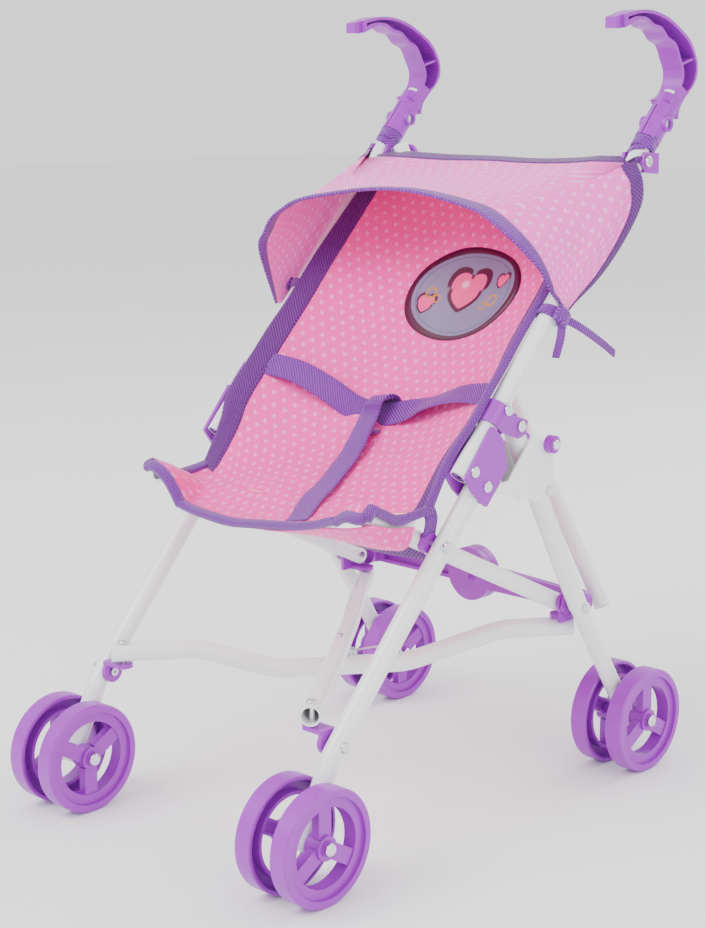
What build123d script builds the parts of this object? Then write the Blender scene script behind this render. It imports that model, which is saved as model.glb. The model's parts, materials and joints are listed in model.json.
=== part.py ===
from build123d import *
import math
import os

# Folding toy umbrella stroller for dolls, in millimetres.
# +Z up, the doll faces -Y, +X is the doll's left. The origin is on the floor at the centre of the
# object's outline. Points named (y, z) lie in a side frame's plane. The left side is drawn and the
# right side is its mirror image. All hinge pins of the side frames run along X.

# ---- driving dimensions -------------------------------------------------------------------------
WHEEL_R = 39.0
WHEEL_W = 14.1
WHEEL_GAP = 8.9            # from the leg's centre to a wheel's inner face
FRONT_AXLE = (-176.2, 39.0)
REAR_AXLE = (160.6, 39.0)
AXLE_R = 2.4

TUBE_R = 6.9               # front leg and handle tube
REAR_TUBE_R = 7.1
RAIL_R = 6.3               # seat rail
BRACE_R = 6.9              # lower cross braces
BACK_BRACE_R = 6.0         # tubes crossing behind the backrest
WALL = 1.1                 # tube wall

FRAME_X = 116.3            # side frame's distance from the middle, at the front axle
FRAME_TOE = 0.0209         # how much it widens per millimetre towards the back
RAIL_X = 100.6             # seat rail's distance from the middle

LOWER_PIN = (-14.4, 243.4)     # hinge bracket to front leg
FOLD_PIN = (-27.4, 255.5)      # hinge bracket to handle tube, the fold's main pivot
CLAMP_PIN = (7.2, 292.6)       # clamp to handle tube
LEG_PIN = (21.2, 279.7)        # clamp to rear leg
RAIL_PIN = (-50.4, 208.0)      # front leg to seat rail
REAR_PIN = (99.5, 136.0)       # rear leg to seat rail and rear brackets
FRONT_PIN = (-145.8, 93.8)     # front leg to front brace bracket
KNOB = (51.4, 263.6)
LOCK_RIVET = (52.9, 230.1)
CLIP_PIN = (155.8, 453.1)      # top clip on the handle tube
SCREW = (177.8, 478.8)         # handle grip's screw

RAIL_FRONT = 60.0          # seat rail's reach in front of its pin
FRONT_BRACE = (94.5, -146.0, 110.7)   # lower brace's front end pin, left side
REAR_BRACE = (99.0, 109.5, 114.0)     # lower brace's rear end pin, left side
CROSS_LOW_Z = 92.6         # the curved brace's height where the braces cross
CROSS_HIGH_Z = 107.4       # the straight brace's height there
BACK_BRACE_Y = {"left": (143.0, 158.0), "right": (153.0, 173.0)}   # foot and head, by foot's side
BACK_BRACE_X = (108.3, 103.0)          # foot and head
BACK_BRACE_Z = (131.5, 452.5)
ARM_PIN = (106.0, 131.5)   # stretcher arm's outer pin (x, z)
ARM_Y = (121.6, 128.2)     # front faces of the left and the right stretcher arm
ARM_T = 6.0
HUB_Z = 133.5              # stretcher hub's height
HUB_R = 21.0

RIVET_R = 1.9
HEAD_R = 4.0
RUNNING = 0.05             # radial clearance of a pin in its hole


# ---- helpers ------------------------------------------------------------------------------------
def frame_x(y):
    """Distance of the side frame's plane from the middle at a place along the object."""
    return FRAME_X + FRAME_TOE * (y - FRONT_AXLE[0])


def on_frame(yz):
    """The left side frame's 3-D point at (y, z)."""
    return Vector(frame_x(yz[0]), yz[0], yz[1])


def along(start, end, distance):
    """The (y, z) point that far from start towards end."""
    length = math.dist(start, end)
    return tuple(a + (b - a) * distance / length for a, b in zip(start, end))


def rod(start, end, radius):
    """A round bar between two 3-D points."""
    start, end = Vector(*start), Vector(*end)
    axis = end - start
    plane = Plane(origin=start, z_dir=axis)
    return plane * Cylinder(radius, axis.length, align=(Align.CENTER, Align.CENTER, Align.MIN))


def pin(yz, x_start, x_end, radius=RIVET_R):
    """A bar along X at (y, z)."""
    return rod((x_start, *yz), (x_end, *yz), radius)


def tube(start, end, radius):
    """A straight hollow tube between two 3-D points."""
    return rod(start, end, radius) - rod(start, end, radius - WALL)


def bent_tube(points, radius, bends):
    """A hollow tube through 3-D points, rounded at each corner."""
    path = FilletPolyline(*points, radius=bends)
    first = Vector(*points[1]) - Vector(*points[0])
    section = Plane(origin=points[0], z_dir=first) * (Circle(radius) - Circle(radius - WALL))
    return sweep(section, path=path)


def dome(yz, x, outward, radius=HEAD_R, height=1.7):
    """A rivet's rounded head, its flat face at x and its crown towards outward (+1 or -1)."""
    head = Cylinder(radius, height, align=(Align.CENTER, Align.CENTER, Align.MIN))
    head = fillet(head.edges().sort_by(Axis.Z)[-1], height * 0.85)
    return Plane(origin=(x, *yz), x_dir=(0, 1, 0), z_dir=(outward, 0, 0)) * head


def rivet(yz, x_in, x_out, head_r=HEAD_R):
    """A rivet along X: rounded head at x_out and an upset hollow end at x_in."""
    body = pin(yz, x_in - 1.2, x_out + 0.5) + dome(yz, x_out, +1, head_r)
    body += pin(yz, x_in - 1.2, x_in, 3.1)
    return body - pin(yz, x_in - 1.4, x_in + 1.0, 1.2)


def upright_rivet(x, y, z_low, z_high):
    """A rivet along Z: domed head on top at z_high, flat end at z_low."""
    lying = rivet((0, 0), z_low, z_high)
    return Pos(x, y, 0) * Rot(0, -90, 0) * lying


def side_plate(outline, x_start, x_end, corner=0.0):
    """A flat plate in the side frame's plane from (y, z) corners, between two x values."""
    face = make_face(Polyline(*[(y, z) for y, z in outline], close=True))
    if corner:
        face = fillet(face.vertices(), corner)
    plate = extrude(face, abs(x_end - x_start))
    plane = Plane(origin=(min(x_start, x_end), 0, 0), x_dir=(0, 1, 0), z_dir=(1, 0, 0))
    return plane * plate


def across(start, end, offset):
    """Unit normal of start->end in (y, z), turned forward-up, times offset."""
    dy, dz = end[0] - start[0], end[1] - start[1]
    length = math.hypot(dy, dz)
    return (-dz / length * offset, dy / length * offset)


def shift(point, *moves):
    return (point[0] + sum(m[0] for m in moves), point[1] + sum(m[1] for m in moves))


def mirrored(shape):
    return mirror(shape, about=Plane.YZ)


# ---- directions of the main tubes ---------------------------------------------------------------
def towards(start, end):
    length = math.dist(start, end)
    return ((end[0] - start[0]) / length, (end[1] - start[1]) / length)


HANDLE_DIR = towards(FOLD_PIN, SCREW)
FRONT_DIR = towards(FRONT_PIN, LOWER_PIN)
REAR_DIR = towards(LEG_PIN, REAR_PIN)
RAIL_DIR = towards(RAIL_PIN, REAR_PIN)


def handle_point(distance, offset=0.0):
    """(y, z) at a distance up the handle tube from its pivot and an offset in front of it."""
    return (FOLD_PIN[0] + HANDLE_DIR[0] * distance - HANDLE_DIR[1] * offset,
            FOLD_PIN[1] + HANDLE_DIR[1] * distance + HANDLE_DIR[0] * offset)


def leg_point(distance, offset=0.0):
    """(y, z) at a distance up the front leg from its lower pin and an offset in front of it."""
    return (LOWER_PIN[0] + FRONT_DIR[0] * distance - FRONT_DIR[1] * offset,
            LOWER_PIN[1] + FRONT_DIR[1] * distance + FRONT_DIR[0] * offset)


# ---- side frame pieces, left side ---------------------------------------------------------------
def front_leg():
    """Front leg: bent a little steeper below the brace bracket, with a cross hole at each pin."""
    foot = shift(FRONT_AXLE, (-3.4, -6.2))
    knee = shift(FRONT_PIN, (FRONT_DIR[0] * -8, FRONT_DIR[1] * -8))
    top = leg_point(13.0)
    body = bent_tube([on_frame(foot), on_frame(knee), on_frame(top)], TUBE_R, 45)
    for place in (LOWER_PIN, RAIL_PIN, FRONT_PIN):
        body -= pin(place, 90, 140, RIVET_R + RUNNING)
    return body - pin(FRONT_AXLE, 90, 140, AXLE_R + RUNNING)


def hinge_bracket():
    """Moulded U bracket: two plates round the leg's top and the handle's foot, joined behind."""
    x = frame_x(LOWER_PIN[0])
    outline = [handle_point(33.5, 6.0), handle_point(33.5, -9.0), leg_point(21.5, -9.2),
               leg_point(-11.0, -9.2), leg_point(-11.0, 8.5), handle_point(-8.5, 4.0)]
    body = side_plate(outline, x + 7.5, x + 10.0, 2.2) + side_plate(outline, x - 10.0, x - 7.5, 2.2)
    web = [leg_point(19.5, -9.2), leg_point(-9.0, -9.2), leg_point(-9.0, -7.3),
           leg_point(19.5, -7.3)]
    body += side_plate(web, x - 8.0, x + 8.0)
    for place in (LOWER_PIN, FOLD_PIN):
        body -= pin(place, 90, 140, RIVET_R + RUNNING)
    return body


LOCK_OUTLINE = [(33.0, 272.4), (7.6, 244.2), (33.6, 226.4), (44.0, 222.6), (59.4, 228.6),
                (58.8, 236.0), (56.4, 262.0)]


def side_lock():
    """Folded sheet channel fixed behind the hinge bracket, which the rear leg drops into."""
    x = frame_x(LOWER_PIN[0])
    half, sheet = 9.0, 1.2
    body = side_plate(LOCK_OUTLINE, x + half, x + half + sheet, 0.8)
    body += side_plate(LOCK_OUTLINE, x - half - sheet, x - half, 0.8)
    lip_low, lip_high = leg_point(1.0, -9.6), leg_point(9.0, -9.6)
    web = [lip_low, (33.6, 226.4), (34.1, 227.6), shift(lip_low, (0.5, 1.2))]
    tongue = [leg_point(-6.0, -9.6), leg_point(12.0, -9.6), leg_point(12.0, -10.8),
              leg_point(-6.0, -10.8)]
    cheek = [lip_low, (33.6, 226.4), (7.6, 244.2), lip_high]
    body += side_plate(web, x - half - sheet, x + half + sheet)
    body += side_plate(cheek, x + half, x + half + sheet)
    body += side_plate(cheek, x - half - sheet, x - half)
    return body + side_plate(tongue, x - half, x + half)


def lock_knobs():
    """Round thumb knobs outside the lock's plates, with their rivets' heads."""
    x = frame_x(LOWER_PIN[0])
    outer = pin(KNOB, x + 10.3, x + 15.5, 6.3) + pin(KNOB, x + 10.3, x + 16.3, 5.2)
    inner = pin(KNOB, x - 12.5, x - 10.3, 5.2)
    return Compound(children=[outer, inner])


def front_leg_hardware():
    """Rivets of the front leg and the lock, and the front axle."""
    x = frame_x(LOWER_PIN[0])
    pivot = rivet(FOLD_PIN, x - 10.1, x + 10.1)
    lower = rivet(LOWER_PIN, x - 10.1, x + 10.1)
    rail_x = frame_x(RAIL_PIN[0])
    rail = rivet(RAIL_PIN, RAIL_X - RAIL_R - 0.2, rail_x + TUBE_R + 0.1)
    brace_x = frame_x(FRONT_PIN[0])
    brace = rivet(FRONT_PIN, brace_x - TUBE_R - 4.2, brace_x + TUBE_R + 0.1)
    knob = dome(KNOB, x + 16.4, +1, 3.6)
    lock = dome(LOCK_RIVET, x + 10.3, +1) + pin(LOCK_RIVET, x + 10.3, x + 10.9, HEAD_R)
    inner = dome(LOCK_RIVET, x - 10.3, -1, 3.2)
    return Compound(children=[pivot, lower, rail, brace, knob, lock, inner, axle(FRONT_AXLE)])


def axle(yz):
    """Axle through a leg, domed at both ends."""
    x = frame_x(yz[0])
    reach = WHEEL_GAP + WHEEL_W
    body = pin(yz, x - reach - 0.6, x + reach + 0.6, AXLE_R)
    body += dome(yz, x + reach + 0.6, +1, 4.6, 2.0) + dome(yz, x - reach - 0.6, -1, 4.6, 2.0)
    return body


def wheel(yz, side):
    """Three-spoked wheel of a twin pair, with a stepped rim and a hub boss. side is +1 outboard."""
    tread, rim_in, step_r, hub_r = WHEEL_R, 26.5, 33.5, 8.2
    profile = [(rim_in, 1.4), (rim_in, WHEEL_W - 2.6), (step_r, WHEEL_W - 2.6),
               (step_r, WHEEL_W - 0.2), (tread - 1.2, WHEEL_W), (tread, WHEEL_W - 1.2),
               (tread, 0.8), (tread - 0.8, 0.0), (tread - 2.6, 0.0), (tread - 2.6, WHEEL_W - 5.2),
               (rim_in + 2.4, WHEEL_W - 5.2), (rim_in + 2.4, 1.4)]
    rim = revolve(make_face(Plane.XZ * Polyline(*profile, close=True)), Axis.Z)
    hub = Cylinder(hub_r, WHEEL_W - 1.6, align=(Align.CENTER, Align.CENTER, Align.MIN))
    hub += Cylinder(5.4, WHEEL_W - 0.1, align=(Align.CENTER, Align.CENTER, Align.MIN))
    body = rim + hub
    for turn in (90, 210, 330):
        spoke = Pos(18, 0, WHEEL_W - 5.6) * Box(22, 11.0, 4.0)
        ribs = [Pos(18, s * 4.4, WHEEL_W - 7.6) * Box(21, 2.0, 5.0) for s in (1, -1)]
        body += Rot(0, 0, turn) * (spoke + ribs)
    body -= Cylinder(AXLE_R + RUNNING, 4 * WHEEL_W)
    x = frame_x(yz[0])
    place = Plane(origin=(x + side * WHEEL_GAP, *yz), x_dir=(0, 1, 0), z_dir=(side, 0, 0))
    return place * body


def handle_tube():
    start, end = handle_point(-6.0), handle_point(330.0)
    body = tube(on_frame(start), on_frame(end), TUBE_R)
    for place in (FOLD_PIN, CLAMP_PIN, CLIP_PIN, SCREW):
        body -= pin(place, 90, 140, RIVET_R + RUNNING)
    return body


def upper_clamp():
    """U strap round the handle tube, with the rear leg's top between its two ends."""
    middle = on_frame(handle_point(44.2))
    strap_half, wall = 8.2, 2.3
    bore_r = TUBE_R + 0.1
    x = middle.X
    ring = rod(middle - Vector(0, *HANDLE_DIR) * strap_half,
               middle + Vector(0, *HANDLE_DIR) * strap_half, bore_r + wall)
    outline = [handle_point(52.4, 0.0), handle_point(52.4, -9.0), shift(LEG_PIN, (7.6, 3.2)),
               shift(LEG_PIN, (5.4, -6.0)), shift(LEG_PIN, (-2.6, -8.2)), handle_point(36.0, -6.0),
               handle_point(36.0, 0.0)]
    plates = side_plate(outline, x - bore_r - wall + 0.1, x + bore_r + wall - 0.1)
    slot = [handle_point(70.0, -0.5), handle_point(70.0, -60.0), handle_point(10.0, -60.0),
            handle_point(10.0, -0.5)]
    body = (ring + plates) - side_plate(slot, x - 7.6, x + 7.6)
    body -= rod(on_frame(handle_point(20.0)), on_frame(handle_point(70.0)), bore_r)
    for place in (CLAMP_PIN, LEG_PIN):
        body -= pin(place, 90, 140, RIVET_R + RUNNING)
    return body


def handle_fittings():
    """Rivets of the clamp and the clip, the grip's screw and the plug in the tube's foot."""
    x = frame_x(CLAMP_PIN[0])
    reach = TUBE_R + 2.6
    clamp = rivet(CLAMP_PIN, x - reach, x + reach)
    leg = rivet(LEG_PIN, x - reach, x + reach)
    clip_x = frame_x(CLIP_PIN[0])
    clip = rivet(CLIP_PIN, clip_x - TUBE_R - 3.2, clip_x + TUBE_R + 3.2)
    screw_x = frame_x(SCREW[0])
    screw = pin(SCREW, screw_x - 9.4, screw_x + 9.4) + pin(SCREW, screw_x + 8.0, screw_x + 9.4, 3.4)
    screw += pin(SCREW, screw_x - 9.4, screw_x - 8.0, 3.4)
    foot, inside = on_frame(handle_point(-6.0)), on_frame(handle_point(-3.0))
    plug = rod(foot, inside, TUBE_R - WALL - 0.02) - rod(foot, inside, 1.5)
    return Compound(children=[clamp, leg, clip, screw, plug])


def handle_grip(facing=1):
    """Hooked grip: a split sleeve on the tube, then a hook whose channel opens outboard or inboard."""
    x = frame_x(SCREW[0])
    half, web = 8.4, 2.2
    outer = [handle_point(316.0, -9.2), (204.5, 499.8), (215.4, 511.6), (215.7, 522.1),
             (212.4, 529.2), (206.5, 536.9), (193.8, 545.5), (180.3, 552.2), (167.1, 556.2),
             (153.0, 558.0), (139.3, 557.2), (126.0, 554.6), (117.5, 552.6)]
    inner = [(117.5, 545.0), (124.0, 545.0), (132.0, 547.6), (142.6, 550.8), (151.0, 550.0),
             (158.6, 546.2), (168.0, 544.4), (176.4, 537.6), (184.8, 534.4), (191.6, 524.6),
             (196.4, 515.6), (193.4, 503.0), handle_point(318.0, 9.2)]
    edge = Spline(*outer) + Polyline(outer[-1], inner[0]) + Spline(*inner)
    edge += Polyline(inner[-1], outer[0])
    plane = Plane(origin=(x - half, 0, 0), x_dir=(0, 1, 0), z_dir=(1, 0, 0))
    hook = plane * extrude(make_face(edge), 2 * half)
    channel_outer = [(203.0, 501.6), (212.2, 510.6), (213.5, 520.8), (210.2, 528.0),
                     (204.6, 535.0), (192.6, 543.4), (179.4, 549.9), (166.6, 553.9),
                     (153.0, 555.7), (139.8, 554.9), (129.0, 552.6)]
    channel_inner = [(129.0, 550.2), (137.6, 552.9), (144.6, 553.2), (152.6, 552.2),
                     (160.0, 548.6), (169.6, 546.4), (178.4, 539.6), (186.6, 536.2),
                     (193.6, 526.4), (198.8, 516.0), (196.6, 505.4)]
    channel_edge = Spline(*channel_outer) + Line(channel_outer[-1], channel_inner[0])
    channel_edge += Spline(*channel_inner) + Line(channel_inner[-1], channel_outer[0])
    pocket_plane = Plane(origin=(x - half + web, 0, 0), x_dir=(0, 1, 0), z_dir=(1, 0, 0))
    hook -= pocket_plane * extrude(make_face(channel_edge), 2 * half)
    rib = [(214.4, 526.4), (196.6, 521.4), (197.2, 519.6), (214.8, 524.6)]
    hook += side_plate(rib, x - half + 1.0, x + half - 1.2)
    narrowing = make_face(Polyline((x - 20, 100), (x - 3, 100), (x - 3, 126), (x - half, 146),
                                   (x - 20, 146), close=True))
    hook -= Pos(0, 0, 500) * extrude(narrowing, 80)
    hook -= Pos(x + 6 + 10, 112, 550) * Box(20, 26, 40)
    if facing < 0:
        hook = mirror(hook, about=Plane(origin=(x, 0, 0), z_dir=(1, 0, 0)))
    base, top = on_frame(handle_point(287.0)), on_frame(handle_point(326.0))
    sleeve = rod(base, top, TUBE_R + 2.4)
    sleeve += pin(SCREW, x - 11.0, x + 11.0, 5.6)
    body = hook + sleeve
    bore_end = on_frame(handle_point(330.4))
    body -= rod(on_frame(handle_point(280.0)), bore_end, TUBE_R + 0.1)
    body -= pin(SCREW, x - 20, x + 20, RIVET_R + RUNNING)
    body -= pin(SCREW, x + 8.0, x + 20, 3.5) + pin(SCREW, x - 20, x - 8.0, 3.5)
    slit_low, slit_high = handle_point(280.0), handle_point(314.0)
    slit = side_plate([shift(slit_low, across(slit_low, slit_high, 5.0)),
                       shift(slit_high, across(slit_low, slit_high, 5.0)),
                       shift(slit_high, across(slit_low, slit_high, 14.0)),
                       shift(slit_low, across(slit_low, slit_high, 14.0))], x - 0.5, x + 0.5)
    return body - slit


def rear_leg():
    foot = along(REAR_AXLE, REAR_PIN, -6.5)
    top = along(LEG_PIN, REAR_PIN, -5.5)
    body = tube(on_frame(top), on_frame(REAR_PIN), REAR_TUBE_R)
    lower_start = along(REAR_PIN, REAR_AXLE, -0.5)
    body += tube(on_frame(lower_start), on_frame(foot), REAR_TUBE_R - 0.6)
    body -= rod(on_frame(top), on_frame(REAR_PIN), REAR_TUBE_R - WALL)
    body -= rod(on_frame(lower_start), on_frame(foot), REAR_TUBE_R - 0.6 - WALL)
    for place in (LEG_PIN, REAR_PIN):
        body -= pin(place, 90, 150, RIVET_R + RUNNING)
    return body - pin(REAR_AXLE, 90, 150, AXLE_R + RUNNING)


def rear_leg_hardware():
    """Outer half of the rear pivot, held in the rear leg, and the rear axle."""
    x = frame_x(REAR_PIN[0])
    half_pivot = pin(REAR_PIN, x - REAR_TUBE_R + 0.4, x + REAR_TUBE_R + 0.6)
    half_pivot += dome(REAR_PIN, x + REAR_TUBE_R + 0.1, +1)
    return Compound(children=[half_pivot, axle(REAR_AXLE)])


def seat_rail():
    """Seat rail inboard of the leg, with a round spacer at its pin."""
    front = along(RAIL_PIN, REAR_PIN, -RAIL_FRONT)
    rear = along(REAR_PIN, RAIL_PIN, -7.0)
    body = tube((RAIL_X, *front), (RAIL_X, *rear), RAIL_R)
    for place in (RAIL_PIN, REAR_PIN):
        body -= pin(place, 80, 125, RIVET_R + RUNNING)
    return body


def rail_spacer():
    """Spacer between seat rail and front leg, which the seat's loops hang on."""
    leg_face = frame_x(RAIL_PIN[0]) - TUBE_R - 0.4
    spacer = pin(RAIL_PIN, RAIL_X + RAIL_R - 1.2, leg_face, 7.2)
    spacer -= rod((RAIL_X, *RAIL_PIN), (RAIL_X, *REAR_PIN), RAIL_R + 0.05)
    spacer -= rod((RAIL_X, *RAIL_PIN), (RAIL_X, *along(RAIL_PIN, REAR_PIN, -60)), RAIL_R + 0.05)
    return spacer - pin(RAIL_PIN, 80, 125, RIVET_R + RUNNING)


def rail_pin():
    """Inner half of the rear pivot: through the seat rail, the brace bracket and the knuckle."""
    inner_face = RAIL_X - RAIL_R - 0.2
    body = pin(REAR_PIN, inner_face - 1.2, 114.5)
    body += pin(REAR_PIN, inner_face - 1.2, inner_face, 3.1)
    return body - pin(REAR_PIN, inner_face - 1.4, inner_face + 1.0, 1.2)


def front_brace_bracket():
    """Moulded angle on the front leg: wall on the leg's pin, ledge under the brace's end."""
    wall_x = frame_x(FRONT_PIN[0]) - TUBE_R - 0.5
    x, y, z = FRONT_BRACE
    ledge_top = z - BRACE_R - 1.2
    wall = pin(FRONT_PIN, wall_x - 3.2, wall_x, 8.0)
    wall += Pos(wall_x - 1.6, y, (FRONT_PIN[1] + ledge_top) / 2) * Box(
        3.2, 13.0, ledge_top - FRONT_PIN[1])
    ledge = Pos((x + wall_x) / 2, y, ledge_top - 1.4) * Box(wall_x - x, 13.0, 2.8)
    ledge += rod((x, y, ledge_top - 2.8), (x, y, ledge_top), 6.5)
    gusset = side_plate([(y - 5.5, ledge_top - 1), (y + 5.5, ledge_top - 1),
                         (y + 2.0, FRONT_PIN[1] + 5.0), (y - 2.0, FRONT_PIN[1] + 5.0)],
                        wall_x - 5.6, wall_x - 3.0)
    body = wall + ledge + gusset
    body -= pin(FRONT_PIN, 80, 130, RIVET_R + RUNNING)
    return body - rod((x, y, ledge_top - 5), (x, y, ledge_top + 5), RIVET_R + RUNNING)


def rear_brace_bracket():
    """Moulded angle on the rear pivot, its ledge above the lower brace's rear end."""
    x, y, z = REAR_BRACE
    wall_out, wall_t = 110.9, 2.9
    ledge_low = z + BRACE_R + 1.0
    wall = pin(REAR_PIN, wall_out - wall_t, wall_out, 8.0)
    wall += Pos(wall_out - wall_t / 2, (REAR_PIN[0] + y) / 2, (REAR_PIN[1] + ledge_low) / 2) * Box(
        wall_t, y - REAR_PIN[0] + 11.0, REAR_PIN[1] - ledge_low)
    ledge = Pos((x + wall_out) / 2, y - 1.0, ledge_low + 1.3) * Box(wall_out - x, 13.0, 2.6)
    ledge += rod((x, y - 1.0, ledge_low), (x, y - 1.0, ledge_low + 2.6), 7.5)
    body = wall + ledge
    body -= rod((RAIL_X, *along(RAIL_PIN, REAR_PIN, 100)), (RAIL_X, *along(REAR_PIN, RAIL_PIN, -9)),
                RAIL_R + 0.6)
    return body - pin(REAR_PIN, 80, 130, RIVET_R + RUNNING)


def brace_knuckle():
    """Moulded knuckle on the rear pivot: carries the stretcher arm and the back brace's foot."""
    wall_out, wall_t = 114.3, 3.0
    boss_x, boss_z = ARM_PIN
    boss_y = ARM_Y[0] - 3.4
    wall = side_plate([(REAR_PIN[0] - 7.5, REAR_PIN[1] - 4), (REAR_PIN[0] - 5.5, REAR_PIN[1] + 6),
                       (REAR_PIN[0] + 3, REAR_PIN[1] + 8), (boss_y + 3.0, boss_z + 8),
                       (boss_y + 3.0, boss_z - 8), (REAR_PIN[0] - 2, REAR_PIN[1] - 8)],
                      wall_out - wall_t, wall_out, 1.5)
    plate = rod((boss_x, boss_y, boss_z), (boss_x, boss_y + 3.0, boss_z), 8.4)
    plate += Pos((boss_x + wall_out) / 2, boss_y + 1.5, boss_z) * Box(wall_out - boss_x, 3.0, 16.0)
    body = wall + plate
    body -= pin(REAR_PIN, 80, 130, RIVET_R + RUNNING)
    return body - rod((boss_x, 90, boss_z), (boss_x, 170, boss_z), RIVET_R + RUNNING)


def knuckle_pin(foot_y):
    """Pin along Y through the knuckle, the stretcher arm and the back brace's foot."""
    x, z = ARM_PIN
    start, end = ARM_Y[0] - 3.5, foot_y + BACK_BRACE_R + 0.8
    body = rod((x, start - 1.2, z), (x, start, z), HEAD_R)
    body += rod((x, start - 0.5, z), (x, end + 1.2, z), RIVET_R)
    return body + rod((x, end, z), (x, end + 1.2, z), 3.2)


def top_clip(head_y):
    """Clip on the handle tube's pin, with an ear behind the back brace's head."""
    x = frame_x(CLIP_PIN[0])
    gap, wall = 0.4, 2.4
    inner, outer = x - TUBE_R - gap - wall, x + TUBE_R + gap + wall
    outline = [shift(CLIP_PIN, (-7.4, -1.0)), shift(CLIP_PIN, (-4.0, 6.6)),
               shift(CLIP_PIN, (13.6, 5.4)), shift(CLIP_PIN, (13.6, -9.4)),
               shift(CLIP_PIN, (0.0, -8.2))]
    body = side_plate(outline, outer - wall, outer, 1.8) + side_plate(outline, inner, inner + wall, 1.8)
    lug = [shift(CLIP_PIN, (11.0, 4.6)), shift(CLIP_PIN, (13.6, 4.6)),
           shift(CLIP_PIN, (13.6, -8.8)), shift(CLIP_PIN, (11.0, -8.8))]
    body += side_plate(lug, inner, outer)
    ear_front = head_y + BACK_BRACE_R + 1.6
    ear_x, ear_z, ear_t = BACK_BRACE_X[1], CLIP_PIN[1] - 0.6, 2.4
    body += Pos((ear_x + inner) / 2 + 0.5, ear_front + ear_t / 2, ear_z) * Box(
        inner + 1.0 - ear_x, ear_t, 13.0)
    body += rod((ear_x, ear_front, ear_z), (ear_x, ear_front + ear_t, ear_z), 6.5)
    arm = [(CLIP_PIN[0] + 8.0, ear_z + 5.0), (ear_front + ear_t, ear_z + 5.0),
           (ear_front + ear_t, ear_z - 6.5), (CLIP_PIN[0] + 8.0, ear_z - 6.5)]
    body += side_plate(arm, inner, inner + wall)
    body -= rod(on_frame(handle_point(200.0)), on_frame(handle_point(330.0)), TUBE_R + gap - 0.1)
    return body - pin(CLIP_PIN, 90, 150, RIVET_R + RUNNING)


# ---- braces across the frame --------------------------------------------------------------------
def brace_point(share, z):
    """Point on the curved brace's run, right front to left rear, at a share of its length."""
    start, end = Vector(-FRONT_BRACE[0], FRONT_BRACE[1]), Vector(REAR_BRACE[0], REAR_BRACE[1])
    run = end - start
    return (start.X + run.X * share, start.Y + run.Y * share, z)


def curved_brace():
    """Lower brace from the right front to the left rear, dipping under the straight one."""
    points = [brace_point(-0.027, FRONT_BRACE[2]), brace_point(0.17, FRONT_BRACE[2]),
              brace_point(0.34, CROSS_LOW_Z), brace_point(0.64, CROSS_LOW_Z),
              brace_point(0.86, REAR_BRACE[2]), brace_point(1.027, REAR_BRACE[2])]
    body = bent_tube(points, BRACE_R, 60)
    for x, y, z in ((-FRONT_BRACE[0], *FRONT_BRACE[1:]), REAR_BRACE):
        body -= rod((x, y, z - 12), (x, y, z + 12), RIVET_R + RUNNING)
    x, y, z = brace_point(0.5, CROSS_LOW_Z)
    return body - rod((x, y, z - 12), (x, y, z + 12), RIVET_R + RUNNING)


def straight_brace():
    """Lower brace from the left front to the right rear, straight but for its raised end."""
    def place(share, z):
        x, y, _ = brace_point(share, z)
        return (-x, y, z)
    points = [place(-0.027, FRONT_BRACE[2]), place(0.12, FRONT_BRACE[2]), place(0.34, CROSS_HIGH_Z),
              place(0.66, CROSS_HIGH_Z), place(0.84, REAR_BRACE[2]), place(1.027, REAR_BRACE[2])]
    body = bent_tube(points, BRACE_R, 60)
    for x, y, z in (FRONT_BRACE, (-REAR_BRACE[0], *REAR_BRACE[1:])):
        body -= rod((x, y, z - 12), (x, y, z + 12), RIVET_R + RUNNING)
    x, y, z = place(0.5, CROSS_HIGH_Z)
    return body - rod((x, y, z - 12), (x, y, z + 12), RIVET_R + RUNNING)


def brace_end_rivet():
    """Upright rivet through the left front bracket's ledge and the brace's end."""
    x, y, z = FRONT_BRACE
    return upright_rivet(x, y, z - BRACE_R - 4.2, z + BRACE_R + 0.1)


def crossing_rivet():
    """Upright rivet where the lower braces cross, with a washer under it."""
    x, y, _ = brace_point(0.5, 0.0)
    body = rod((-x, y, CROSS_HIGH_Z - 5.0), (-x, y, CROSS_HIGH_Z + BRACE_R + 0.1), RIVET_R)
    return body + (upright_rivet(-x, y, CROSS_HIGH_Z, CROSS_HIGH_Z + BRACE_R + 0.1))


def back_brace(foot_y, head_y):
    """Tube from the left knuckle up behind the backrest to the right top clip, with its rivet."""
    foot = Vector(BACK_BRACE_X[0], foot_y, BACK_BRACE_Z[0])
    head = Vector(-BACK_BRACE_X[1], head_y, BACK_BRACE_Z[1])
    run = (head - foot).normalized()
    body = tube(foot - run * 8.0, head + run * 6.5, BACK_BRACE_R)
    return body - rod((ARM_PIN[0], 90, ARM_PIN[1]), (ARM_PIN[0], 190, ARM_PIN[1]),
                      RIVET_R + RUNNING)


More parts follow.
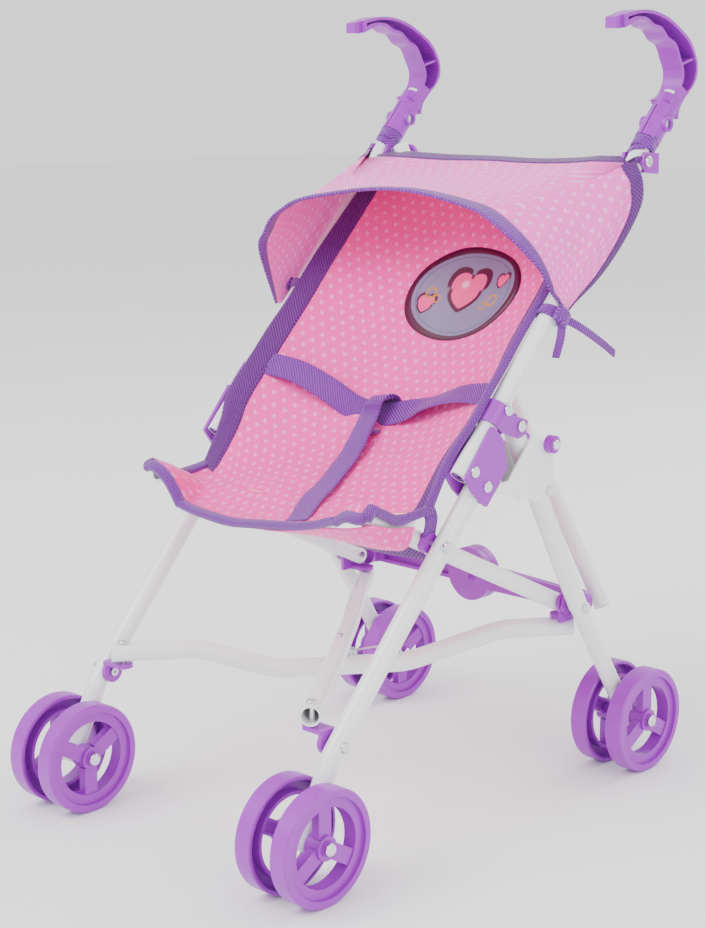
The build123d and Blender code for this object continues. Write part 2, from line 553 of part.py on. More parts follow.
def stretcher_arm(front_y, channelled):
    """Left half of the stretcher: an eye on the knuckle's pin, a bar and half of the hub."""
    x, z = ARM_PIN
    back_y = front_y + ARM_T
    eye = rod((x, front_y, z), (x, back_y, z), 8.4)
    hub = rod((0, front_y, HUB_Z), (0, back_y, HUB_Z), HUB_R)
    bar_outline = [(x, z + 7.0), (10.0, HUB_Z + 9.5), (10.0, HUB_Z - 9.5), (x, z - 7.0)]
    plane = Plane(origin=(0, back_y, 0), x_dir=(1, 0, 0), z_dir=(0, -1, 0))
    bar = plane * extrude(make_face(Polyline(*bar_outline, close=True)), ARM_T)
    body = eye + bar + hub
    if channelled:
        groove = [(x - 10.0, z + 4.4), (21.0, HUB_Z + 6.6), (21.0, HUB_Z - 6.6),
                  (x - 10.0, z - 4.4)]
        slot_plane = Plane(origin=(0, front_y + 4.0, 0), x_dir=(1, 0, 0), z_dir=(0, -1, 0))
        body -= slot_plane * extrude(make_face(Polyline(*groove, close=True)), 8.0)
    body -= rod((x, 90, z), (x, 170, z), RIVET_R + RUNNING)
    return body - rod((0, 90, HUB_Z), (0, 170, HUB_Z), 2.6)


def hub_nut():
    """Nut and washer on the stretcher hub's front."""
    start = ARM_Y[0]
    body = rod((0, start - 1.0, HUB_Z), (0, start - 0.1, HUB_Z), 5.2)
    body += rod((0, start - 4.0, HUB_Z), (0, start - 1.0, HUB_Z), 3.4)
    return body + rod((0, start - 4.0, HUB_Z), (0, ARM_Y[0] + ARM_T, HUB_Z), 2.2)


# ---- soft parts, as plain closed solids ---------------------------------------------------------
CLOTH = 2.0
BACK_HALF = 104.0          # backrest's half width, between the handle tubes
BACK_SAG = 20.0            # how far its middle hangs behind the tubes
BACK_SPAN = (-8.0, 236.0)  # its lower and upper end, as distances up the handle tube
SEAT_HALF = 91.0
SEAT_FRONT = (-106.0, 217.0)
SEAT_CREASE = (-64.0, 221.0)
HOOD_HALF = 133.0
HOOD_FRONT = (45.0, 433.0)     # top of the hood's front edge
HOOD_REAR = (150.0, 449.0)     # top of its rear edge
HOOD_CORNER = (58.0, 351.0)    # where its sides come down to the handle tubes


def back_sling():
    """Backrest, slung between the handle tubes and hollow across its width."""
    low, high = BACK_SPAN
    plane = Plane(origin=(0, *handle_point(low)), x_dir=(1, 0, 0), z_dir=(0, *HANDLE_DIR))
    front = ThreePointArc((-BACK_HALF, 0), (0, BACK_SAG), (BACK_HALF, 0))
    rear = ThreePointArc((BACK_HALF, CLOTH), (0, BACK_SAG + CLOTH), (-BACK_HALF, CLOTH))
    ends = [Line((BACK_HALF, 0), (BACK_HALF, CLOTH)), Line((-BACK_HALF, CLOTH), (-BACK_HALF, 0))]
    section = make_face([front, ends[0], rear, ends[1]])
    return plane * extrude(section, high - low)


def seat_sling():
    """Seat, slung between the rails from its front hem to the crease and up to the backrest."""
    profile = [SEAT_FRONT, SEAT_CREASE, handle_point(BACK_SPAN[0] - 1.5, -2.0)]
    lower = [shift(point, (0.7, -CLOTH)) for point in profile]
    return side_plate(profile + lower[::-1], -SEAT_HALF, SEAT_HALF)


def hood():
    """Hood: one arched sheet outside the handle tubes, cut back to them below."""
    base_z = HOOD_CORNER[1] - 20
    rise = (HOOD_REAR[1] - HOOD_FRONT[1]) / (HOOD_REAR[0] - HOOD_FRONT[0])
    depth = HOOD_REAR[0] - HOOD_FRONT[0] + 20
    start_y = HOOD_FRONT[0] - 10
    top = HOOD_FRONT[1] - base_z
    def section(inset):
        half, height = HOOD_HALF - inset, top - inset
        outline = FilletPolyline((-half, 0), (-half, height - 26), (-half + 42, height),
                                 (half - 42, height), (half, height - 26), (half, 0), radius=24)
        return make_face(Curve() + [outline, Line((half, 0), (-half, 0))])
    sheet = section(0) - section(CLOTH)
    plane = Plane(origin=(0, start_y, base_z), x_dir=(1, 0, 0), z_dir=(0, -1, 0))
    body = extrude(plane * sheet, depth, dir=(0, 1, rise))
    front_cut = [(-40, 300), (HOOD_CORNER[0], 340), (HOOD_FRONT[0] - 12, 400), (HOOD_FRONT[0], 470),
                 (-40, 470)]
    rear_cut = [(HOOD_CORNER[0], 340), HOOD_CORNER, (116, 388), (HOOD_REAR[0] - 2, 416),
                (HOOD_REAR[0], 470), (200, 470), (200, 300)]
    for outline in (front_cut, rear_cut):
        body -= side_plate(outline, -150, 150)
    for side in (1, -1):
        low, high = on_frame(handle_point(90.0)), on_frame(handle_point(330.0))
        body -= rod((side * low.X, low.Y, low.Z), (side * high.X, high.Y, high.Z), TUBE_R + 4.0)
    return max(body.solids(), key=lambda solid: solid.volume)


def harness():
    """Lap belt across the backrest and the strap down from it to the seat."""
    half, wide, thick = BACK_HALF - 4, 16.0, 1.6
    lap_y, lap_z = handle_point(32.0, 12.0)
    lap = Pos(0, lap_y, lap_z) * Box(2 * half, thick, wide)
    start, end = (lap_y - 2.2, lap_z + wide / 2), (SEAT_CREASE[0] - 8.0, SEAT_CREASE[1] + 4.0)
    move = across(start, end, thick)
    strap = side_plate([start, end, shift(end, move), shift(start, move)], -wide / 2, wide / 2)
    return Compound(children=[lap, strap])


# ---- all sub-parts ------------------------------------------------------------------------------
SIDE_PIECES = {
    "front_leg": front_leg, "hinge_bracket": hinge_bracket, "side_lock": side_lock,
    "lock_knobs": lock_knobs, "front_leg_hardware": front_leg_hardware,
    "rail_spacer": rail_spacer,
    "handle_tube": handle_tube, "upper_clamp": upper_clamp, "handle_fittings": handle_fittings,
    "rear_leg": rear_leg, "rear_leg_hardware": rear_leg_hardware,
    "seat_rail": seat_rail, "rail_pin": rail_pin, "front_brace_bracket": front_brace_bracket,
    "rear_brace_bracket": rear_brace_bracket, "brace_knuckle": brace_knuckle,
    "brace_end_rivet": brace_end_rivet,
}


def build():
    """Every sub-part by name."""
    nodes = {}
    for name, make in SIDE_PIECES.items():
        piece = make()
        nodes[name + "_left"] = piece
        nodes[name + "_right"] = mirrored(piece)
    for end, place in (("front", FRONT_AXLE), ("rear", REAR_AXLE)):
        for reach, side in (("outer", 1), ("inner", -1)):
            piece = wheel(place, side)
            nodes[f"{end}_{reach}_wheel_left"] = piece
            nodes[f"{end}_{reach}_wheel_right"] = mirrored(piece)
    nodes["handle_grip_left"], nodes["handle_grip_right"] = handle_grip(), mirrored(handle_grip(-1))
    nodes["curved_brace"], nodes["straight_brace"] = curved_brace(), straight_brace()
    for side, place in (("left", lambda piece: piece), ("right", mirrored)):
        foot_y, head_y = BACK_BRACE_Y[side]
        nodes[f"knuckle_pin_{side}"] = place(knuckle_pin(foot_y))
        nodes[f"back_brace_from_{side}"] = place(back_brace(foot_y, head_y))
        other_head = BACK_BRACE_Y["right" if side == "left" else "left"][1]
        nodes[f"top_clip_{side}"] = place(top_clip(other_head))
    nodes["stretcher_arm_left"] = stretcher_arm(ARM_Y[0], False)
    nodes["stretcher_arm_right"] = mirrored(stretcher_arm(ARM_Y[1], True))
    nodes["crossing_rivet"], nodes["hub_nut"] = crossing_rivet(), hub_nut()
    nodes["back_sling"], nodes["seat_sling"] = back_sling(), seat_sling()
    nodes["hood"], nodes["harness"] = hood(), harness()
    return nodes


if __name__ == "__main__":
    os.makedirs("parts", exist_ok=True)
    for name, piece in build().items():
        export_step(piece, f"parts/{name}.step")
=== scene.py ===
import json
import math

import bpy
import numpy as np
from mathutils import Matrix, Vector, noise


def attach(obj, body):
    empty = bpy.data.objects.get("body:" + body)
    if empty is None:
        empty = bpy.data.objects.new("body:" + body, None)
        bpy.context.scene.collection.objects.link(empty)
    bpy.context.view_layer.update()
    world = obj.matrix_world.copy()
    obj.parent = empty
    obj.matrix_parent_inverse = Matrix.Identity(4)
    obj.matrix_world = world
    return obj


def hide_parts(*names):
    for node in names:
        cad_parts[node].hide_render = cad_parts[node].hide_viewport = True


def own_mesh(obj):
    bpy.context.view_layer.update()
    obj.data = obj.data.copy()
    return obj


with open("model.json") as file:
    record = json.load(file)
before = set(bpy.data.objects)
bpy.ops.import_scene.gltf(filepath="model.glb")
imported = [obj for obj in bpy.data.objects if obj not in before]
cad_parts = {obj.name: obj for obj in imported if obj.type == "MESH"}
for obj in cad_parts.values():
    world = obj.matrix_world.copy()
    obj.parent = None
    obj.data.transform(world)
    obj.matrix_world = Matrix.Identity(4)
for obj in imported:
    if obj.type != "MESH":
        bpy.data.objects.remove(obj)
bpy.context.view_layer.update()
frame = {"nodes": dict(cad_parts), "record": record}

MM = 0.001

# ---- the frame's places that the fabric follows, in millimetres ---------------------------------
FOLD_PIN = (-27.4, 255.5)              # foot of the handle tube (y, z)
HANDLE = (0.6766, 0.7364)              # its direction in (y, z)
TUBE_R = 6.9
RAIL_PIN = (-50.4, 208.0)              # seat rail's pin (y, z)
RAIL_SLOPE = -0.4803                   # its height per millimetre towards the back
RAIL_X, RAIL_R = 100.6, 6.3
BACK_TOP = 259.0                       # the backrest's upper end, as a distance up the handle tube
BACK_LOW_SIDE, BACK_DIP = -34.0, 18.0  # its lower end at the sides, and how far the middle dips
BACK_LOW = -48.0                       # its lower end for most of the width
BACK_SPAN = 226.0                      # its width at the badge
BADGE_WIDTH, BADGE_HEIGHT = 108.0, 78.0
CLOTH, TAPE, BINDING = 0.8, 1.4, 2.4   # thicknesses
SQUARENESS = 0.75                      # of a cord's section: 1 is an ellipse, 0 a box
SHOULDER = 0.707                       # of a tube's clearance: where cloth leaves it at 45 degrees


def on_handle(distance, offset=0.0):
    """(y, z) that far up the handle tube, and offset towards the doll's front."""
    return (FOLD_PIN[0] + HANDLE[0] * distance - HANDLE[1] * offset,
            FOLD_PIN[1] + HANDLE[1] * distance + HANDLE[0] * offset)


def handle_x(y):
    """The left handle tube's distance from the middle."""
    return 116.3 + 0.0209 * (y + 176.2)


# ---- materials ----------------------------------------------------------------------------------
def linear(red, green, blue):
    """A display colour, 0 to 255, as linear light."""
    def channel(value):
        value /= 255
        return value / 12.92 if value <= 0.04045 else ((value + 0.055) / 1.055) ** 2.4
    return (channel(red), channel(green), channel(blue), 1.0)


class Material:
    """A node material with short calls for its nodes."""

    def __init__(self, name, **sockets):
        self.data = bpy.data.materials.new(name)
        self.data.use_nodes = True
        self.tree = self.data.node_tree
        self.shader = next(n for n in self.tree.nodes if n.type == "BSDF_PRINCIPLED")
        for socket, value in sockets.items():
            self.shader.inputs[socket.replace("_", " ")].default_value = value

    def add(self, kind, inputs=(), **settings):
        node = self.tree.nodes.new(kind)
        for name, value in settings.items():
            setattr(node, name, value)
        for key, value in dict(inputs).items():
            self.feed(node.inputs[key], value)
        return node

    def feed(self, socket, value):
        if isinstance(value, bpy.types.NodeSocket):
            self.tree.links.new(value, socket)
        else:
            socket.default_value = value

    def math(self, operation, a, b=0.0, c=0.0):
        return self.add("ShaderNodeMath", {0: a, 1: b, 2: c}, operation=operation).outputs[0]

    def clamped(self, value):
        return self.add("ShaderNodeClamp", {0: value}).outputs[0]

    def mix(self, share, first, second):
        node = self.add("ShaderNodeMix", data_type="RGBA")
        for socket, value in zip((node.inputs[0], node.inputs[6], node.inputs[7]),
                                 (share, first, second)):
            self.feed(socket, value)
        return node.outputs[2]

    def cloth_place(self):
        """Across and along the cloth, in metres."""
        uv = self.add("ShaderNodeUVMap", uv_map="cloth").outputs[0]
        split = self.add("ShaderNodeSeparateXYZ", {0: uv})
        return split.outputs[0], split.outputs[1]

    def noise(self, scale, detail=3.0):
        place = self.add("ShaderNodeTexCoord").outputs["Object"]
        return self.add("ShaderNodeTexNoise", {"Vector": place, "Scale": scale,
                                               "Detail": detail}).outputs[0]

    def colour(self, value):
        self.feed(self.shader.inputs["Base Color"], value)

    def bump(self, height, strength, distance):
        node = self.add("ShaderNodeBump", {"Height": height, "Strength": strength,
                                           "Distance": distance})
        if self.shader.inputs["Normal"].is_linked:
            previous = self.shader.inputs["Normal"].links[0].from_socket
            self.feed(node.inputs["Normal"], previous)
        self.feed(self.shader.inputs["Normal"], node.outputs[0])


def heart(m, x, y, sharpness=6.0):
    """A heart's inside as 1, from places that are about 1 at its edge."""
    xx, yy = m.math("MULTIPLY", x, x), m.math("MULTIPLY", y, y)
    ring = m.math("SUBTRACT", m.math("ADD", xx, yy), 1.0)
    cube = m.math("MULTIPLY", ring, m.math("MULTIPLY", ring, ring))
    lobes = m.math("MULTIPLY", m.math("MULTIPLY", xx, yy), y)
    inside = m.math("MULTIPLY", m.math("SUBTRACT", lobes, cube), m.math("LESS_THAN", ring, 2.2))
    return m.clamped(m.math("MULTIPLY", inside, sharpness))


def ripple_lines(m, across, along, pitch, slant):
    """Fine ribs, 0 to 1, that run at a slant."""
    place = m.math("ADD", m.math("DIVIDE", across, pitch),
                   m.math("MULTIPLY", m.math("DIVIDE", along, pitch), slant))
    wave = m.math("SINE", m.math("MULTIPLY", place, 2 * math.pi))
    return m.math("MULTIPLY_ADD", wave, 0.5, 0.5)


def printed_cloth(name, ground, deeper, print_colour, strength):
    """Thin polyester printed with rows of little hearts, every other one upside down."""
    m = Material(name, Roughness=0.62, Sheen_Weight=0.25, Sheen_Roughness=0.4)
    across, along = m.cloth_place()
    width, height, radius = 0.0098, 0.0078, 0.00185
    row = m.math("FLOOR", m.math("DIVIDE", along, height))
    odd = m.math("FLOORED_MODULO", row, 2.0)
    column = m.math("ADD", m.math("DIVIDE", across, width), m.math("MULTIPLY", odd, 0.5))
    turn = m.math("FLOORED_MODULO", m.math("ADD", m.math("FLOOR", column), row), 2.0)
    sign = m.math("MULTIPLY_ADD", turn, -2.0, 1.0)
    x = m.math("MULTIPLY", m.math("SUBTRACT", m.math("FRACT", column), 0.5), width / radius)
    y = m.math("SUBTRACT", m.math("FRACT", m.math("DIVIDE", along, height)), 0.5)
    y = m.math("MULTIPLY", m.math("MULTIPLY", y, height / radius), sign)
    hearts = m.math("MULTIPLY", heart(m, x, y), strength)
    cloudy = m.mix(m.noise(9.0), ground, deeper)
    m.colour(m.mix(hearts, cloudy, print_colour))
    weave = m.math("MULTIPLY", ripple_lines(m, across, along, 0.0009, 0.0),
                   ripple_lines(m, along, across, 0.0009, 0.0))
    m.bump(weave, 0.25, 0.0002)
    m.bump(m.noise(38.0, 4.0), 0.22, 0.003)
    return m.data


def ribbed_webbing(name, dark, light, slant=1.0, pitch=0.0026):
    """Polyester tape with a slanted rib; its colour is a painted highlight on the rib crests, brightest
    where the ribs cross.
    """
    m = Material(name, Roughness=0.5, Sheen_Weight=0.3, Sheen_Roughness=0.35)
    across, along = m.cloth_place()
    ribs = ripple_lines(m, across, along, pitch, slant)
    cross = ripple_lines(m, along, across, pitch * 0.55, -0.4)
    rib_highlight = m.math("MULTIPLY", ribs, m.math("MULTIPLY_ADD", cross, 0.55, 0.45))
    # painted highlight: the rib crests are coloured lighter than the troughs, brightest where the ribs
    # cross
    m.colour(m.mix(m.math("POWER", rib_highlight, 1.6), dark, light))
    m.bump(rib_highlight, 0.8, 0.0009)
    return m.data


def painted_tube():
    """White baked paint on the tubes."""
    m = Material("painted_tube", Roughness=0.24, Coat_Weight=0.35, Coat_Roughness=0.12)
    m.colour(m.mix(m.noise(22.0), linear(232, 231, 234), linear(243, 243, 244)))
    m.bump(m.noise(420.0, 1.0), 0.05, 0.0004)
    return m.data


def moulded(name, low, high):
    """Half-glossy moulded plastic, with a little light in its depth."""
    m = Material(name, Subsurface_Weight=0.06, Subsurface_Radius=(0.004, 0.002, 0.004),
                 Subsurface_Scale=0.6)
    m.colour(m.mix(m.noise(14.0), low, high))
    m.feed(m.shader.inputs["Roughness"], m.math("MULTIPLY_ADD", m.noise(60.0), 0.12, 0.27))
    m.bump(m.noise(900.0, 2.0), 0.06, 0.0003)
    return m.data


def chromed():
    """Plated rivets, pins and wire."""
    m = Material("chromed", Metallic=1.0, Roughness=0.14)
    m.colour(m.mix(m.noise(90.0), linear(205, 208, 214), linear(228, 230, 234)))
    m.bump(m.noise(700.0, 2.0), 0.04, 0.0002)
    return m.data


def patch_print():
    """The oval badge's print: a rim, a ruled line, three hearts and two curls, with no lettering."""
    m = Material("badge_print", Roughness=0.45)
    across, along = m.cloth_place()

    def at(x, y, size):
        """Across and along from (x, y), in sizes."""
        return (m.math("DIVIDE", m.math("SUBTRACT", across, x), size),
                m.math("DIVIDE", m.math("SUBTRACT", along, y), size))
    u = m.math("DIVIDE", across, BADGE_WIDTH * MM / 2)
    v = m.math("DIVIDE", along, BADGE_HEIGHT * MM / 2)
    radius = m.math("SQRT", m.math("ADD", m.math("MULTIPLY", u, u), m.math("MULTIPLY", v, v)))

    def beyond(edge, soft=60.0):
        """1 outside that share of the radius."""
        return m.clamped(m.math("MULTIPLY", m.math("SUBTRACT", radius, edge), soft))
    colour = m.mix(m.noise(60.0), linear(116, 108, 142), linear(128, 120, 154))
    ruled = m.math("MULTIPLY", beyond(0.80), m.math("SUBTRACT", 1.0, beyond(0.815)))
    colour = m.mix(m.math("MULTIPLY", ruled, 0.8), colour, linear(70, 62, 110))
    maroon, pink = linear(72, 6, 44), linear(238, 62, 138)
    for x, y, size in ((0.0, 0.001, 0.0140), (-0.032, -0.012, 0.0066), (0.033, 0.010, 0.0050)):
        for grow, paint in ((1.28, maroon), (1.0, pink)):
            colour = m.mix(heart(m, *at(x, y, size * grow), 60.0), colour, paint)
    shine_x, shine_y = at(-0.0035, 0.0085, 0.0042)
    shine = m.math("ADD", m.math("MULTIPLY", shine_x, shine_x), m.math("MULTIPLY", shine_y, shine_y))
    colour = m.mix(m.clamped(m.math("SUBTRACT", 1.0, shine)), colour, linear(255, 170, 210))
    for side in (-1, 1):
        for x, y, r in ((0.031, -0.0015, 0.0042), (0.0235, -0.0055, 0.0030)):
            cx, cy = at(side * x, y + (0.0 if side < 0 else -0.004), r)
            curl = m.math("SQRT", m.math("ADD", m.math("MULTIPLY", cx, cx), m.math("MULTIPLY", cy, cy)))
            line = m.math("SUBTRACT", 1.0, m.math("MULTIPLY", m.math(
                "ABSOLUTE", m.math("SUBTRACT", curl, 1.0)), 4.0))
            colour = m.mix(m.clamped(m.math("MULTIPLY", line, 2.0)), colour, linear(196, 132, 40))
    m.colour(m.mix(beyond(0.88), colour, maroon))
    m.bump(m.noise(300.0), 0.1, 0.0005)
    return m.data


PINK = printed_cloth("pink_print", linear(255, 62, 176), linear(250, 44, 158),
                     linear(255, 150, 220), 0.75)
# painted light: the hood wears a paler copy of the pink print, standing in for the light that falls on
# the hood's top
HOOD_LIT_PINK = printed_cloth("hood_print_lit", linear(255, 104, 208), linear(255, 92, 198),
                          linear(255, 178, 238), 0.75)
WEBBING = ribbed_webbing("webbing", linear(92, 0, 130), linear(172, 56, 214))
BAND = ribbed_webbing("binding_tape", linear(76, 0, 104), linear(134, 24, 166), 1.0, 0.0030)
PLASTIC = moulded("orchid_plastic", linear(152, 24, 182), linear(162, 32, 192))
PAINT = painted_tube()
CHROME = chromed()
BADGE = patch_print()
FINISH = {"white_paint": PAINT, "orchid_plastic": PLASTIC, "chrome": CHROME}


# ---- sheets, straps and tubes -------------------------------------------------------------------
def smooth(points, count):
    """count points on a curve through the given ones."""
    p = np.array(points, float)
    p = np.concatenate([[2 * p[0] - p[1]], p, [2 * p[-1] - p[-2]]])
    out = []
    for place in np.linspace(0, len(points) - 1, count):
        i = min(int(place), len(points) - 2)
        t = place - i
        a, b, c, d = p[i:i + 4]
        out.append(0.5 * (2 * b + (c - a) * t + (2 * a - 5 * b + 4 * c - d) * t ** 2
                          + (3 * b - a - 3 * c + d) * t ** 3))
    return np.array(out)


def unit(vectors):
    """The vectors at length 1."""
    return vectors / np.maximum(np.linalg.norm(vectors, axis=-1, keepdims=True), 1e-9)


def lengths(points):
    """Distance along a row of points."""
    steps = np.linalg.norm(np.diff(points, axis=0), axis=1)
    return np.concatenate([[0.0], np.cumsum(steps)])


def mesh_object(name, vertices, faces, uvs, material):
    """An object from points in millimetres, with its place on the cloth as uv."""
    mesh = bpy.data.meshes.new(name)
    mesh.from_pydata([Vector(v) * MM for v in vertices], [], faces)
    layer = mesh.uv_layers.new(name="cloth")
    for loop in mesh.loops:
        layer.data[loop.index].uv = uvs[loop.vertex_index]
    mesh.materials.append(material)
    for polygon in mesh.polygons:
        polygon.use_smooth = True
    piece = bpy.data.objects.new(name, mesh)
    bpy.context.scene.collection.objects.link(piece)
    return piece


def slab(name, grid, thickness, material):
    """A closed sheet of that thickness about a grid of points, with a rounded rim."""
    grid = np.array(grid, float)
    rows, columns = grid.shape[:2]
    normal = unit(np.cross(np.gradient(grid, axis=1), np.gradient(grid, axis=0)))
    middle_row, middle_column = grid[rows // 2], grid[:, columns // 2]
    across, along = lengths(middle_row) * MM, lengths(middle_column) * MM
    uv = [(a, b) for b in along for a in across]
    half = normal * thickness / 2
    vertices = list((grid + half).reshape(-1, 3)) + list((grid - half).reshape(-1, 3))
    uvs = uv + uv
    size = rows * columns
    faces = []
    for r in range(rows - 1):
        for c in range(columns - 1):
            a, b = r * columns + c, r * columns + c + 1
            faces.append((a, b, b + columns, a + columns))
            faces.append(tuple(size + k for k in (a, a + columns, b + columns, b)))
    rim = [(0, c) for c in range(columns)] + [(r, columns - 1) for r in range(1, rows)]
    rim += [(rows - 1, c) for c in range(columns - 2, -1, -1)]
    rim += [(r, 0) for r in range(rows - 2, 0, -1)]
    first = len(vertices)
    for r, c in rim:
        inner = grid[min(max(r, 1), rows - 2), min(max(c, 1), columns - 2)]
        outward = unit(grid[r, c] - inner)
        vertices.append(grid[r, c] + outward * thickness / 2)
        uvs.append(uv[r * columns + c])
    for k, (r, c) in enumerate(rim):
        r2, c2 = rim[(k + 1) % len(rim)]
        here, there = r * columns + c, r2 * columns + c2
        mid_here, mid_there = first + k, first + (k + 1) % len(rim)
        faces.append((there, here, mid_here, mid_there))
        faces.append((mid_there, mid_here, size + here, size + there))
    return mesh_object(name, vertices, faces, uvs, material)


def sweep(name, path, wide, radii, material, sides=12):
    """A closed cord: a rounded section carried along a path. wide is the direction of its width."""
    path, wide = np.array(path, float), np.array(wide, float)
    tangent = unit(np.gradient(path, axis=0))
    wide = unit(wide - tangent * np.sum(wide * tangent, axis=1, keepdims=True))
    thin = np.cross(tangent, wide)
    along = lengths(path) * MM
    vertices, uvs = [], []
    around = math.pi * (radii[0] + radii[1]) * MM
    for k, centre in enumerate(path):
        for j in range(sides):
            angle = 2 * math.pi * j / sides
            a = math.copysign(abs(math.cos(angle)) ** SQUARENESS, math.cos(angle)) * radii[0]
            b = math.copysign(abs(math.sin(angle)) ** SQUARENESS, math.sin(angle)) * radii[1]
            vertices.append(centre + wide[k] * a + thin[k] * b)
            uvs.append((around * abs(2 * j / sides - 1), along[k]))
    faces = []
    for k in range(len(path) - 1):
        for j in range(sides):
            a, b = k * sides + j, k * sides + (j + 1) % sides
            faces.append((a, b, b + sides, a + sides))
    faces.append(tuple(range(sides))[::-1])
    faces.append(tuple((len(path) - 1) * sides + j for j in range(sides)))
    return mesh_object(name, vertices, faces, uvs, material)


def strap(name, stations, width, thickness, material=None, count=60):
    """Flat tape through stations of (centre, direction of its width)."""
    centres = smooth([s[0] for s in stations], count)
    wide = unit(smooth([s[1] for s in stations], count))
    shares = np.linspace(-0.5, 0.5, 7)
    grid = centres[:, None, :] + wide[:, None, :] * shares[None, :, None] * width
    return slab(name, grid, thickness, material or WEBBING)


def ruffled(grid, amount, size, seed):
    """The grid moved along its normals by smooth noise."""
    grid = np.array(grid, float)
    normal = unit(np.cross(np.gradient(grid, axis=1), np.gradient(grid, axis=0)))
    shifts = [[noise.noise(Vector(p) / size + Vector((seed, 0, 0))) * amount for p in row]
              for row in grid]
    return grid + normal * np.array(shifts)[:, :, None]


def soft(piece, body):
    """Rides a body, on a mesh of its own."""
    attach(piece, body)
    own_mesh(piece)
    return piece


# ---- backrest -----------------------------------------------------------------------------------
BACK_MIDDLE = [(-52, 10), (-24, -6), (15, -20), (60, -24), (120, -22), (190, -14), (262, -3)]
BACK_EDGES = {   # distance up the tube, x, offset towards the front
    "far": [(-34, -109, 1), (0, -110, 8), (30, -114, 13), (100, -114, 12), (180, -113, 9),
            (262, -112, 1)],
    "near": [(-34, 110, 1), (0, 109, 7), (20, 113, 11), (44, 117, 12.5), (72, 115, 10),
             (110, 113, 6.5), (180, 113, 5), (262, 113, 1)]}


def read(curve, place, column=1):
    """A column of a curve, where its first column has reached place."""
    return float(np.interp(place, curve[:, 0], curve[:, column]))


BACK_MIDDLE_CURVE = smooth(BACK_MIDDLE, 90)
EDGE_CURVES = {side: smooth(table, 90) for side, table in BACK_EDGES.items()}


def back_point(share, rise):
    """A point of the backrest. share runs from the far edge to the near one, rise up from the crease."""
    across = 2 * share - 1
    low = BACK_LOW_SIDE - BACK_DIP * max(0.0, 1 - abs(across) ** 3)
    distance = low + (BACK_TOP - low) * rise
    far_x, near_x = (read(EDGE_CURVES[side], distance) for side in ("far", "near"))
    far_off, near_off = (read(EDGE_CURVES[side], distance, 2) for side in ("far", "near"))
    edge = far_off + (near_off - far_off) * share
    hollow = max(0.0, 1 - abs(across) ** 2.6)
    middle = read(BACK_MIDDLE_CURVE, distance)
    y, z = on_handle(distance, edge + (middle - edge) * hollow)
    return np.array((far_x + (near_x - far_x) * share, y, z))


def rise_at(distance):
    """The rise that lies that far up the handle tube."""
    return (distance - BACK_LOW) / (BACK_TOP - BACK_LOW)


def back_grid(shares, rises):
    """The backrest's points, with the cloth's soft waves."""
    grid = np.array([[back_point(s, r) for s in shares] for r in rises])
    return ruffled(grid, 2.6, 46.0, 3.0)


def make_backrest():
    """Backrest panel, its bands and the near side's rope-like edge."""
    rises = np.linspace(0.0, 1.0, 90)
    grid = back_grid(np.linspace(0.0, 1.0, 64), rises)
    panel = slab("backrest_panel", grid, CLOTH, PINK)
    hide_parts("back_sling")
    band_shares = np.linspace(-0.008, 0.052, 9)
    far_band = slab("backrest_far_binding", back_grid(band_shares, rises), 2.6, BAND)
    rim = back_grid([0.984, 1.0, 1.004], rises)
    near_rope = sweep("backrest_near_binding", rim[:, 1], rim[:, 2] - rim[:, 0], (3.4, 2.8),
                      WEBBING)
    near_band = slab("backrest_near_tape", back_grid(np.linspace(0.955, 1.0, 7), rises), 2.0,
                     BAND)
    sewn = stitches(band_shares[-2], rises)
    for piece in (panel, far_band, near_rope, near_band, sewn):
        soft(piece, "handle_left")


def stitches(share, rises):
    """A row of stitches near a binding's inner edge: each is a low, long pyramid."""
    places, stride, half_width, height, clear = 400, 4, 0.35, 0.3, 1.5
    fine = np.linspace(rises[0] + 0.01, rises[-1] - 0.01, places)
    rows = back_grid([share, share + 0.004], fine)
    normal = np.array((0, -HANDLE[1], HANDLE[0]))
    up = normal * height
    vertices, faces = [], []
    for k in range(0, places - stride + 1, stride):
        start, end = (rows[place, 0] + normal * clear for place in (k, k + stride - 1))
        side = np.cross(unit(end - start), normal) * half_width
        top = (start + end) / 2 + up
        base = len(vertices)
        vertices += [start - up, top - side, top + side, end - up, top + up]
        faces += [(base, base + 1, base + 4), (base + 1, base + 3, base + 4),
                  (base + 3, base + 2, base + 4), (base + 2, base, base + 4),
                  (base, base + 2, base + 1), (base + 1, base + 2, base + 3)]
    return mesh_object("binding_stitches", vertices, faces, [(0, 0)] * len(vertices), BAND)


def make_badge():
    """Oval printed badge on the backrest, built of rings of points from its middle to its rim."""
    centre_share, centre_rise = 0.593, rise_at(153.0)
    rings, points, step = np.linspace(0.02, 1.0, 12), 72, 0.004
    lift = np.array((0, -HANDLE[1], HANDLE[0])) * 1.1
    vertices, uvs, faces = [], [], []
    for ring in rings:
        for k in range(points):
            angle = 2 * math.pi * k / points
            reach = ring * (1 + 0.025 * math.cos(3 * angle + 0.6))
            across = math.cos(angle) * reach * BADGE_WIDTH / 2
            along = math.sin(angle) * reach * BADGE_HEIGHT / 2
            share = centre_share + across / BACK_SPAN
            rise = centre_rise + along / (BACK_TOP - BACK_LOW)
            around = back_grid([share - step, share, share + step], [rise - step, rise, rise + step])
            vertices.append(around[1][1] + lift)
            uvs.append((across * MM, along * MM))
    for r in range(len(rings) - 1):
        for k in range(points):
            a, b = r * points + k, r * points + (k + 1) % points
            faces.append((a, b, b + points, a + points))
    faces.append(tuple(range(points))[::-1])
    top = len(vertices)
    vertices += [v - lift * 0.8 for v in vertices]
    uvs += uvs
    faces += [tuple(top + corner for corner in reversed(face)) for face in faces]
    for k in range(points):
        a, b = top - points + k, top - points + (k + 1) % points
        faces.append((a, b, b + top, a + top))
    badge = mesh_object("oval_badge", vertices, faces, uvs, BADGE)
    soft(badge, "handle_left")


